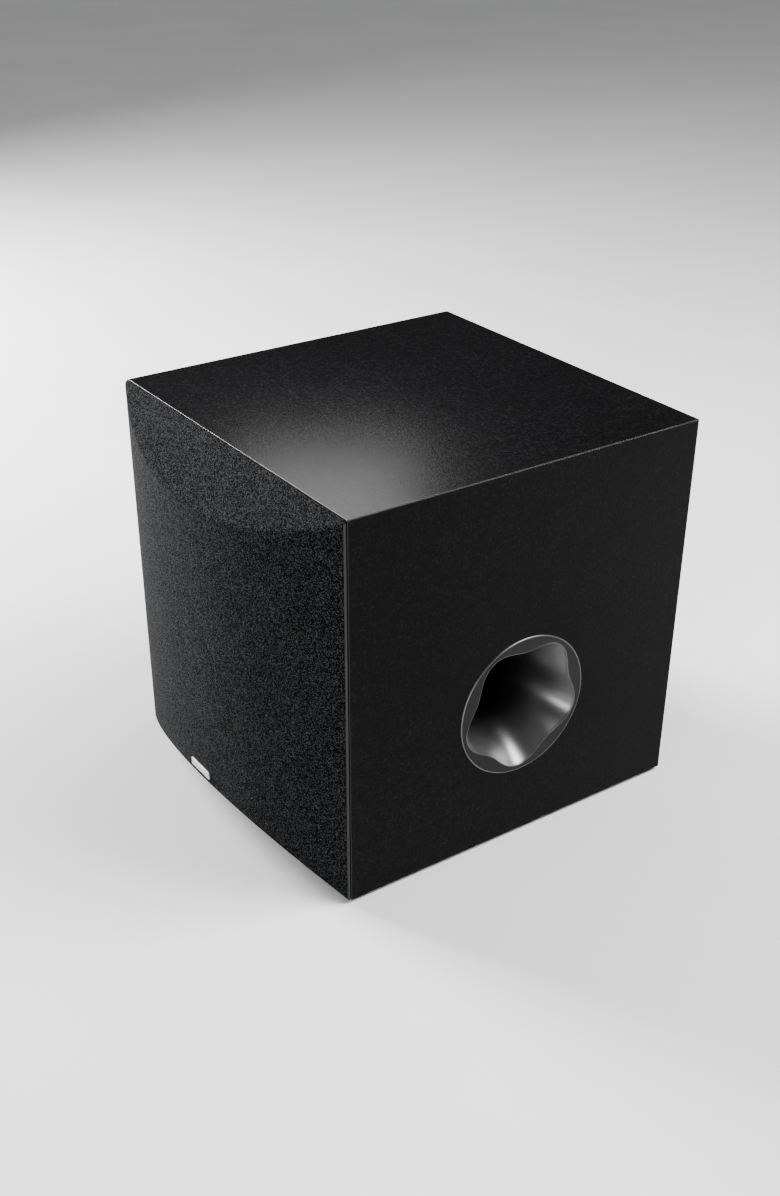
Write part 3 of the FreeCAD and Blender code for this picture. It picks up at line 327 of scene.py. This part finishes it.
MATERIALS = {
    "vinyl_wrap": vinyl(),
    "vinyl_fold": textured("vinyl_fold", (0.01, 0.01, 0.0105), 0.42, grain=900, depth=0.00003,
                           Specular_IOR_Level=0.75),
    "bare_board": fibreboard(),
    "raw_board": raw_wood("raw_board", (0.42, 0.3, 0.18)),
    "wadding": wadding_fluff(),
    "foot_rubber": textured("foot_rubber", (0.016, 0.016, 0.016), 0.8, grain=700, depth=0.00008),
    "grille_cloth": knit(),
    "grille_plastic": textured("grille_plastic", (0.02, 0.02, 0.021), 0.5, grain=1600, depth=0.00004),
    "badge_metal": brushed("badge_metal", (0.72, 0.72, 0.73), 0.3, (0.3, 1, 12)),
    "lamp_lens": textured("lamp_lens", (0.3, 0.015, 0.01), 0.15, grain=400, depth=0.00001, Coat_Weight=0.5),
    "port_plastic": textured("port_plastic", (0.018, 0.018, 0.019), 0.42, grain=60, depth=0.00002, wear=0.05,
                             blotch=22, Specular_IOR_Level=1.0, Coat_Weight=1.0, Coat_Roughness=0.33,
                             Coat_IOR=1.7),
    "port_satin": textured("port_satin", (0.009, 0.009, 0.0095), 0.42, grain=1700, depth=0.00005, wear=0.06,
                           Specular_IOR_Level=0.28),
    "tube_plastic": textured("tube_plastic", (0.024, 0.024, 0.025), 0.45, grain=260, depth=0.00003),
    "basket_paint": textured("basket_paint", (0.02, 0.02, 0.021), 0.45, grain=1200, depth=0.0001),
    "soft_rubber": textured("soft_rubber", (0.017, 0.017, 0.018), 0.55, grain=900, depth=0.00004, wear=0.15),
    "spider_cloth": woven("spider_cloth", (0.5, 0.32, 0.1), 260, 0.0003),
    "cone_paper": cone_pulp(),
    "former_kapton": brushed("former_kapton", (0.62, 0.56, 0.45), 0.3, (1, 8, 1)),
    "copper_wire": wound("copper_wire", (0.72, 0.3, 0.12), "Y", 0.0004),
    "zinc_steel": textured("zinc_steel", (0.56, 0.56, 0.52), 0.32, 1.0, grain=420, depth=0.00002, spread=0.2),
    "ferrite": textured("ferrite", (0.05, 0.05, 0.054), 0.5, grain=650, depth=0.0001, spread=0.35),
    "black_screw": textured("black_screw", (0.03, 0.03, 0.032), 0.36, 0.85, grain=900, depth=0.00003),
    "terminal_board": textured("terminal_board", (0.2, 0.1, 0.035), 0.6, grain=500, depth=0.00008),
    "foam_seal": textured("foam_seal", (0.03, 0.03, 0.03), 0.95, grain=1500, depth=0.0004, spread=0.45),
    "amp_panel": textured("amp_panel", (0.018, 0.018, 0.019), 0.5, grain=1500, depth=0.00009, wear=0.1),
    "sink_metal": brushed("sink_metal", (0.03, 0.03, 0.032), 0.42, (4, 4, 0.2)),
    "circuit_board": circuit(),
    "can_sleeve": textured("can_sleeve", (0.02, 0.03, 0.1), 0.25, grain=300, depth=0.00003, Coat_Weight=0.4),
    "chip_resin": textured("chip_resin", (0.02, 0.02, 0.02), 0.55, grain=1400, depth=0.00004),
    "knob_plastic": textured("knob_plastic", (0.02, 0.02, 0.021), 0.48, grain=1400, depth=0.00004),
    "shaft_metal": brushed("shaft_metal", (0.62, 0.62, 0.62), 0.3, (6, 1, 6)),
    "switch_plastic": textured("switch_plastic", (0.02, 0.02, 0.02), 0.4, grain=1100, depth=0.00003),
    "key_plastic": textured("key_plastic", (0.32, 0.32, 0.33), 0.42, grain=1100, depth=0.00003, spread=0.08),
    "rocker_plastic": textured("rocker_plastic", (0.012, 0.012, 0.012), 0.2, grain=500, depth=0.00002),
    "jack_metal": brushed("jack_metal", (0.72, 0.71, 0.68), 0.16, (5, 1, 5)),
    "jack_insert": two_colours("jack_insert", (0.5, 0.02, 0.015), (0.68, 0.68, 0.65), JACKS_X),
    "pin_metal": brushed("pin_metal", (0.74, 0.73, 0.68), 0.15, (5, 1, 5)),
    "core_steel": lamination(),
    "coil_tape": textured("coil_tape", (0.62, 0.4, 0.06), 0.3, grain=120, depth=0.0001, Coat_Weight=0.5),
    "lead_sleeve": textured("lead_sleeve", (0.32, 0.015, 0.012), 0.4, grain=700, depth=0.00003),
    "panel_print": textured("panel_print", (0.62, 0.62, 0.6), 0.6, grain=1500, depth=0.00001, spread=0.08),
}


def paint(obj, slot, *more):
    """Gives an object the material of a slot, and more in the slots after it."""
    obj.data.materials.clear()
    for name in (slot, *more):
        obj.data.materials.append(MATERIALS[name].material)


for part in frame["record"]["subparts"]:
    paint(NODES[part["node"]], part["material_slot"])


# Mesh helpers

def piece(name, verts, faces, body, slot, smooth=True, *more):
    """A new mesh object in one material slot, riding on a body if one is named."""
    mesh = bpy.data.meshes.new(name)
    mesh.from_pydata([tuple(v) for v in verts], [], faces)
    mesh.validate()
    mesh.update()
    if smooth:
        mesh.shade_smooth()
        mesh.set_sharp_from_angle(angle=math.radians(50))
    obj = bpy.data.objects.new(name, mesh)
    bpy.context.scene.collection.objects.link(obj)
    paint(obj, slot, *more)
    if body:
        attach(obj, body)
    return obj


def rings_to_solid(rings, closed_path=True):
    """Quads between successive rings of the same count, all closed round, joined last to first."""
    count = len(rings[0])
    verts = [v for ring in rings for v in ring]
    faces = []
    total = len(rings)
    for i in range(total if closed_path else total - 1):
        a, b = i * count, ((i + 1) % total) * count
        faces += [(a + k, a + (k + 1) % count, b + (k + 1) % count, b + k) for k in range(count)]
    return verts, faces


def border(columns, rows):
    """The vertices round the edge of a grid of columns, in order."""
    spots = [(0, j) for j in range(rows)] + [(i, rows - 1) for i in range(1, columns)]
    spots += [(columns - 1, j) for j in range(rows - 2, -1, -1)] + [(i, 0) for i in range(columns - 2, 0, -1)]
    return [i * rows + j for i, j in spots]


def bevelled(obj, width, angle, slot=-1):
    """Rounds the edges that turn by more than an angle in degrees; slot is the material of the new faces."""
    weld = obj.modifiers.new("weld", "WELD")
    weld.merge_threshold = 0.00001
    edge = obj.modifiers.new("edge", "BEVEL")
    edge.width = width
    edge.segments = 2
    edge.limit_method = "ANGLE"
    edge.angle_limit = math.radians(angle)
    edge.harden_normals = True
    edge.material = slot


# Camera

AZ, EL, ROLL = (math.radians(a) for a in (55.1293, 31.295, 0.3107))
back = Vector((math.sin(AZ) * math.cos(EL), -math.cos(AZ) * math.cos(EL), math.sin(EL)))
right = (-back).cross(Vector((0, 0, 1))).normalized()
up = right.cross(-back)
across = right * math.cos(ROLL) + up * math.sin(ROLL)
upward = up * math.cos(ROLL) - right * math.sin(ROLL)
place = Vector((0.9812, -0.6900, 0.8043))
camera = bpy.data.objects.new("camera", bpy.data.cameras.new("camera"))
camera.matrix_world = Matrix((
    (across.x, upward.x, back.x, place.x),
    (across.y, upward.y, back.y, place.y),
    (across.z, upward.z, back.z, place.z),
    (0, 0, 0, 1),
))
FRAME_TALL, FOCAL, SHIFT = 1196, 1484.64, 80
camera.data.sensor_width = 36
camera.data.lens = FOCAL * camera.data.sensor_width / FRAME_TALL
camera.data.shift_y = SHIFT / FRAME_TALL
camera.data.clip_start = 0.02
bpy.context.scene.collection.objects.link(camera)
bpy.context.scene.camera = camera


# Light and floor, with a contrast near the picture's deep blacks

bpy.context.scene.view_settings.look = "AgX - Medium High Contrast"


def softbox(name, at, towards, size, power):
    """A rectangular lamp at a point, facing another; size in metres, power in watts."""
    light = bpy.data.lights.new(name, "AREA")
    light.shape = "RECTANGLE"
    light.size, light.size_y = size
    light.energy = power
    lamp = bpy.data.objects.new(name, light)
    lamp.location = at
    lamp.rotation_euler = (Vector(towards) - Vector(at)).to_track_quat("-Z", "Y").to_euler()
    bpy.context.scene.collection.objects.link(lamp)
    return lamp


softbox("left", (-2.05, -0.8, 1.05), (0, -0.1, 0.2), (0.9, 1.3), 160)
softbox("overhead", (0.95, 1.0, 1.75), (0.17, 0, 0.13), (1.15, 1.0), 66)
softbox("strip", (1.15, -1.55, 0.6), (0.17, 0, 0.13), (0.6, 0.6), 15)
softbox("sheen", (-0.1, -0.01, 0.53), (0.18, -0.19, 0.351), (0.17, 0.11), 0.85).visible_camera = False
sky = bpy.data.lights.new("sky", "SUN")
sky.energy = 1.0
sky.angle = math.radians(55)
lamp = bpy.data.objects.new("sky", sky)
lamp.rotation_euler = Vector((-0.1, -0.5, -0.9)).to_track_quat("-Z", "Y").to_euler()
bpy.context.scene.collection.objects.link(lamp)


def studio():
    """A dim room with a pale band round the horizon, so low views have a light background."""
    world = bpy.data.worlds.new("studio")
    world.use_nodes = True
    nodes, links = world.node_tree.nodes, world.node_tree.links
    place, split = nodes.new("ShaderNodeTexCoord"), nodes.new("ShaderNodeSeparateXYZ")
    ramp = nodes.new("ShaderNodeValToRGB")
    ramp.color_ramp.elements[0].position = 0.2
    ramp.color_ramp.elements[0].color = (0.25, 0.253, 0.258, 1)
    ramp.color_ramp.elements[1].position = 0.36
    ramp.color_ramp.elements[1].color = (0.05, 0.051, 0.054, 1)
    links.new(place.outputs["Generated"], split.inputs["Vector"])
    links.new(split.outputs["Z"], ramp.inputs["Fac"])
    links.new(ramp.outputs["Color"], nodes["Background"].inputs["Color"])
    bpy.context.scene.world = world


studio()

floor_shade = Shade("floor", (0.7, 0.7, 0.705), 0.75, Specular_IOR_Level=0.15)
cloudy = floor_shade.noise(3, 4)
floor_shade.color(floor_shade.ramp(cloudy, (0.3, (0.68, 0.68, 0.685)), (0.7, (0.72, 0.72, 0.72))))
MATERIALS["floor"] = floor_shade
reach = 40
corners = [(-reach, -reach, 0), (reach, -reach, 0), (reach, reach, 0), (-reach, reach, 0)]
floor = piece("floor", corners, [(0, 1, 2, 3)], None, "floor", False)


# Cabinet

for panel in ("top_panel", "bottom_panel", "left_panel", "right_panel"):
    paint(NODES[panel], "vinyl_wrap", "vinyl_fold")
    bevelled(NODES[panel], 0.0005, 60, 1)


# Grille

LIP = 0.002
FOLD = 0.0045
CLOTH_T = 0.0007
BOW = CLOTH_HI.y - CLOTH_LO.y - LIP
HALF = CLOTH_HI.x
BOW_R = (HALF ** 2 + BOW ** 2) / (2 * BOW)


def bow_depth(x):
    """How far the cloth stands in front of the grille's back at one x."""
    return LIP + math.sqrt(BOW_R ** 2 - x ** 2) - (BOW_R - BOW)


def cloth_line(x, thickness):
    """(y, z) down the cloth at one x: the 45 degree slope, a soft fold, the upright face, a fold, a slope."""
    depth = bow_depth(x)
    fold = min(FOLD, depth * 1.1)
    reach = fold * math.tan(math.radians(22.5))
    slope = reach / math.sqrt(2)
    points = []
    for k in range(9):
        d = (depth - slope) * k / 8
        points.append((-d, -d, (0.7071, -0.7071)))
    centre = Vector((-(depth - fold), -(depth + reach)))
    for k in range(1, 7):
        a = math.radians(45 - 45 * k / 7)
        n = (math.sin(a), -math.cos(a))
        points.append((centre.x + n[1] * fold, centre.y + n[0] * fold, n))
    half_height = (TOP_Z - BOTTOM_Z) / 2
    start = depth + reach
    for k in range(15):
        points.append((-depth, -start - (half_height - start) * k / 14, (0, -1)))
    line = []
    for y, z, n in points:
        line.append((y - n[1] * thickness, z - n[0] * thickness))
    mirrored = [(y, -2 * half_height - z) for y, z in reversed(line[:-1])]
    return [(GRILLE_Y + y, TOP_Z + z) for y, z in line + mirrored]


def cloth():
    """The grille's stretched cloth: an outer and an inner skin, joined round their edge."""
    inset = 0.0008
    columns = 121
    outer, inner = [], []
    for i in range(columns):
        x = (HALF - inset) * (2 * i / (columns - 1) - 1)
        outer.append([Vector((x, y, z)) for y, z in cloth_line(x, 0)])
        inner.append([Vector((x, y, z)) for y, z in cloth_line(x, CLOTH_T)])
    rows = len(outer[0])
    verts = [v for column in outer + inner for v in column]
    shift = columns * rows
    faces = []
    for i in range(columns - 1):
        for j in range(rows - 1):
            a, b = i * rows + j, (i + 1) * rows + j
            faces.append((a, a + 1, b + 1, b))
            faces.append((a + shift, b + shift, b + 1 + shift, a + 1 + shift))
    ring = border(columns, rows)
    for a, b in zip(ring, ring[1:] + ring[:1]):
        faces.append((a, a + shift, b + shift, b))
    skin = piece("cloth_skin", verts, faces, "grille", "grille_cloth")
    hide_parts("grille_cloth")


def grille_edges():
    """The frame's moulded edge, seen as a thin line down each side of the cloth."""
    for name, side in (("frame_edge_left", -1), ("frame_edge_right", 1)):
        x0, x1 = side * (HALF - 0.0009), side * HALF
        c = 0.0003
        verts = []
        for z, end in ((BOTTOM_Z + LIP, -1), (TOP_Z - LIP, 1)):
            for x, y in ((x0, GRILLE_Y), (x1, GRILLE_Y), (x1, GRILLE_Y - LIP + c),
                         (x1 - side * c, GRILLE_Y - LIP), (x0, GRILLE_Y - LIP)):
                verts.append((x, y, z - end * (GRILLE_Y - y) * 0.3))
        sides = [(k, (k + 1) % 5, 5 + (k + 1) % 5, 5 + k) for k in range(5)]
        faces = sides + [(4, 3, 2, 1, 0), (5, 6, 7, 8, 9)]
        piece(name, verts, faces, "grille", "grille_plastic", False)


cloth()
grille_edges()


# Port flare

FLARE_LEN, MOUTH, DUCT = 0.062, 0.056, 0.037
LOBE, LOBES, FIRST_LOBE, TWIST = 0.0046, 5, 52, 14
NARROWING = 2.3
SKIN, REBATE, ROUND = 0.0022, 0.0015, 0.0008
CROWDING = 1.2
TURN = 192


def throat(depth, angle, extra=0.0):
    """Radius of the twisted five-lobed throat at a depth behind the ring's face."""
    t = min(1, depth / FLARE_LEN)
    base = DUCT + (MOUTH - DUCT) * (1 - t) ** NARROWING
    phase = math.radians(FIRST_LOBE + TWIST * t)
    return base + extra + LOBE * (1 - t) * math.cos(LOBES * (angle - phase))


def port_flare():
    """A satin ring with rounded edges, and a glossy throat behind it with its own thin wall."""
    face, bed = PORT_HI.x, FACE_X - REBATE
    ring_r = PORT_HI.y - PORT_Y
    angles = [2 * math.pi * k / TURN for k in range(TURN)]
    stations = [[(bed, ring_r)] * TURN]
    for k in range(5):
        a = math.radians(90 * k / 4)
        stations.append([(face - ROUND * (1 - math.sin(a)), ring_r - ROUND * (1 - math.cos(a)))] * TURN)
    satin_start = len(stations)
    edge = [throat(ROUND, a) for a in angles]
    for share in (0.02, 0.35, 0.7, 0.97):
        stations.append([(face, (ring_r - ROUND) * (1 - share) + (e + ROUND) * share) for e in edge])
    satin_end = len(stations)
    for k in range(6):
        a = math.radians(90 * k / 5)
        stations.append([(face - ROUND * (1 - math.cos(a)), e + ROUND * (1 - math.sin(a))) for e in edge])
    for k in range(1, 31):
        depth = ROUND + (FLARE_LEN - ROUND) * (k / 30) ** CROWDING
        stations.append([(face - depth, throat(depth, a)) for a in angles])
    gloss = len(stations)
    for k in range(20, 1, -1):
        depth = max(face - bed, FLARE_LEN * (k / 20) ** CROWDING)
        stations.append([(face - depth, throat(depth, a, SKIN)) for a in angles])
    rings = []
    for station in stations:
        ring = []
        for (x, r), a in zip(station, angles):
            ring.append(Vector((x, PORT_Y + r * math.cos(a), PORT_Z + r * math.sin(a))))
        rings.append(ring)
    verts, faces = rings_to_solid(rings)
    flare = piece("port_mouth", verts, faces, "cabinet", "port_plastic", True, "port_satin")
    for polygon in flare.data.polygons:
        station = polygon.index // TURN
        if satin_start <= station < satin_end or station >= gloss:
            polygon.material_index = 1
    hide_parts("port_flare")


port_flare()


# Driver behind the grille

def arc_points(x0, x1, y, radius, count, side):
    """Points from (x0, y) to (x1, y) on an arc of that radius, bulging towards side."""
    half = (x1 - x0) / 2
    sink = math.sqrt(radius ** 2 - half ** 2)
    swing = math.asin(half / radius)
    points = []
    for k in range(count + 1):
        a = -swing + 2 * swing * k / count
        points.append(((x0 + x1) / 2 + radius * math.sin(a), y + side * (radius * math.cos(a) - sink)))
    return points


def sectors(name, profile, slot, shares, steps):
    """A ring of flexible material in sectors, each reaching from the cabinet's side to the cone's."""
    count = len(profile)
    for k in range(shares):
        rings = []
        for j in range(steps + 1):
            a = 2 * math.pi * (k + j / steps) / shares
            run, rise = math.cos(a), math.sin(a)
            rings.append([Vector((r * run, FRONT_Y + y, MID_Z + r * rise)) for r, y in profile])
        verts, faces = rings_to_solid(rings, False)
        faces += [tuple(range(count - 1, -1, -1)), tuple(range(steps * count, (steps + 1) * count))]
        part = piece(f"{name}_{k:02d}", verts, faces, None, slot)
        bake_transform(part)
        if k == 0:
            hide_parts(name)


def suspension():
    """The surround's half roll and the spider's corrugations, as (radius, depth behind the front) rows."""
    roll = [(0.0900, 0.0030), (0.0930, 0.0029)]
    roll += arc_points(0.0960, 0.1120, 0.0030, 0.0083, 16, -1)
    roll += [(0.1150, 0.0029), (0.1190, 0.0030), (0.1190, 0.0040)]
    roll += list(reversed(arc_points(0.0968, 0.1112, 0.0040, 0.0073, 14, -1)))
    roll += [(0.0900, 0.0040)]
    sectors("woofer_surround", roll, "soft_rubber", 48, 5)
    front, rear = [(0.0254, 0.053), (0.030, 0.053)], [(0.0254, 0.0538), (0.030, 0.0538)]
    for k in range(1, 29):
        r = 0.030 + 0.001 * k
        wave = 0.0019 * math.sin(2 * math.pi * (r - 0.030) / 0.007)
        front.append((r, 0.053 + wave))
        rear.append((r, 0.0538 + wave))
    for r in (0.062, 0.067):
        front.append((r, 0.053))
        rear.append((r, 0.0538))
    sectors("woofer_spider", front + rear[::-1], "spider_cloth", 24, 7)


suspension()


# Wadding

def pad(name, corner, along_u, along_v, rise, size):
    """A lofted quilt of fibre: flat on the board behind it, crowned and lumpy on its free side."""
    wide, tall, thick = size
    nu, nv = 21, 23
    base = Vector(corner)
    u_dir, v_dir, out = Vector(along_u), Vector(along_v), Vector(rise)
    top, bottom = [], []
    for i in range(nu):
        for j in range(nv):
            u, v = 2 * i / (nu - 1) - 1, 2 * j / (nv - 1) - 1
            crown = (1 - abs(u) ** 5) * (1 - abs(v) ** 5)
            pull = 1 - 0.035 * (1 - crown) * (1 + noise.noise(Vector((u * 3, v * 3, wide * 50))))
            spot = base + u_dir * wide * (0.5 + 0.5 * u * pull) + v_dir * tall * (0.5 + 0.5 * v * pull)
            lump = 0.08 * noise.noise(Vector((u * 4 + wide * 30, v * 4, 3)))
            lump += 0.04 * noise.noise(Vector((u * 11, v * 11, 7)))
            height = thick * min(1, 0.3 + 0.62 * crown ** 0.6 + lump * crown)
            top.append(spot + out * height)
            bottom.append(spot + out * 0.0002)
    verts, shift = top + bottom, nu * nv
    faces = []
    for i in range(nu - 1):
        for j in range(nv - 1):
            a = i * nv + j
            faces.append((a, a + nv, a + nv + 1, a + 1))
            faces.append((a + shift, a + 1 + shift, a + nv + 1 + shift, a + nv + shift))
    ring = border(nu, nv)[::-1]
    faces += [(b, a, a + shift, b + shift) for a, b in zip(ring, ring[1:] + ring[:1])]
    soft = piece(name, verts, faces, "cabinet", "wadding")
    soft.modifiers.new("smooth", "SUBSURF").levels = 1
    soft.modifiers["smooth"].render_levels = 1
    return soft


WAD_LO, WAD_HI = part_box("wadding_pads")
THICK = 0.025
SPAN = 0.21
pad_length = WAD_HI.y - WAD_LO.y
side_pad = pad("wadding_side", (WAD_LO.x, WAD_LO.y, MID_Z - SPAN / 2), (0, 1, 0), (0, 0, 1), (1, 0, 0),
               (pad_length, SPAN, THICK))
pad("wadding_top", (-SPAN / 2, WAD_LO.y, WAD_HI.z), (1, 0, 0), (0, 1, 0), (0, 0, -1),
    (SPAN, pad_length, THICK))
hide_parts("wadding_pads")


# Prints and small marks

PRINT = 0.00012


def bar(verts, faces, centre, direction, length, width, plane, height=PRINT):
    """One printed bar on a plane that faces +Y, along a direction in that plane."""
    along = Vector((math.sin(direction), 0, math.cos(direction)))
    side = Vector((along.z, 0, -along.x))
    first = len(verts)
    for y in (plane, plane + height):
        for a, b in ((-1, -1), (1, -1), (1, 1), (-1, 1)):
            spot = Vector((centre[0], y, centre[1]))
            verts.append(spot + along * (a * length / 2) + side * (b * width / 2))
    for quad in ((0, 1, 2, 3), (7, 6, 5, 4), (0, 4, 5, 1), (1, 5, 6, 2), (2, 6, 7, 3), (3, 7, 4, 0)):
        faces.append(tuple(first + k for k in quad))


def frame_line(verts, faces, x0, z0, x1, z1):
    """A plain printed outline round a rectangle of the panel."""
    for z in (z0, z1):
        bar(verts, faces, ((x0 + x1) / 2, z), math.pi / 2, x1 - x0, 0.0004, PLATE_Y)
    for x in (x0, x1):
        bar(verts, faces, (x, (z0 + z1) / 2), 0, z1 - z0 - 0.0006, 0.0004, PLATE_Y)


def marks():
    """Scale ticks round the two knobs and plain outlines round each group of controls."""
    verts, faces = [], []
    for knob in ("volume_knob", "high_cut_knob"):
        lo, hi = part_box(knob)
        x, z = (lo.x + hi.x) / 2, (lo.z + hi.z) / 2
        for k in range(11):
            a = math.radians(-150 + 30 * k)
            near = 0.0128 if k % 5 else 0.0124
            far = 0.0148 if k % 5 else 0.0160
            middle = (near + far) / 2
            spot = (x + middle * math.sin(a), z + middle * math.cos(a))
            bar(verts, faces, spot, a, far - near, 0.0006, PLATE_Y)
    for low, high in ((0.0735, 0.1125), (0.0175, 0.0700), (-0.0140, 0.0130)):
        frame_line(verts, faces, -0.0895, MID_Z + low, -0.0085, MID_Z + high)
    for switch in ("phase_slider", "standby_slider"):
        lo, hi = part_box(switch)
        x, z = -0.028, (lo.z + hi.z) / 2
        for step in (-0.0095, 0.0095):
            bar(verts, faces, (x + step, z), 0, 0.0022, 0.0005, PLATE_Y)
    piece("dial_marks", verts, faces, "cabinet", "panel_print", False)
    for knob, body in (("volume_knob", "volume"), ("high_cut_knob", "high_cut")):
        lo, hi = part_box(knob)
        verts, faces = [], []
        centre = ((lo.x + hi.x) / 2, (lo.z + hi.z) / 2 + 0.0062)
        bar(verts, faces, centre, 0, 0.0058, 0.001, hi.y - 0.00068, 0.0005)
        piece(body + "_pointer", verts, faces, body, "panel_print", False)


def badge_field():
    """A brushed field inside the badge's raised border."""
    lo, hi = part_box("badge")
    x, z, inset, c = hi.x - 0.0009, (hi.z - lo.z) / 2 - 0.0009, 0.00012, 0.0009
    middle = (lo.z + hi.z) / 2
    outline = []
    for sx, sz, start in ((1, 1, 0), (-1, 1, 90), (-1, -1, 180), (1, -1, 270)):
        for k in range(5):
            a = math.radians(start + 22.5 * k)
            outline.append((sx * (x - c) + c * math.cos(a), middle + sz * (z - c) + c * math.sin(a)))
    count = len(outline)
    verts = [(px, y, pz) for y in (lo.y - inset, lo.y + 0.0004) for px, pz in outline]
    faces = [(k, (k + 1) % count, count + (k + 1) % count, count + k) for k in range(count)]
    faces += [tuple(range(count - 1, -1, -1)), tuple(range(count, 2 * count))]
    piece("badge_field", verts, faces, "grille", "badge_metal", False)


marks()
badge_field()

# Softened edges on the carried-over hard parts

for node, width in (("badge", 0.00025), ("amp_plate", 0.0004), ("heat_sink", 0.0003), ("back_panel", 0.0004),
                    ("front_baffle", 0.0006), ("woofer_basket", 0.0006), ("woofer_top_plate", 0.0005),
                    ("woofer_yoke", 0.0008), ("woofer_magnets", 0.0012), ("mode_button", 0.0002),
                    ("phase_slider", 0.0003), ("standby_slider", 0.0003), ("power_rocker", 0.0003),
                    ("power_switch_case", 0.0004), ("mains_inlet", 0.0006), ("transformer_core", 0.0005),
                    ("transformer_coil", 0.003), ("side_brace", 0.0006), ("main_board", 0.0002),
                    ("preamp_board", 0.0002), ("amp_capacitors", 0.0012), ("power_transistors", 0.0004)):
    bevelled(NODES[node], width, 35)
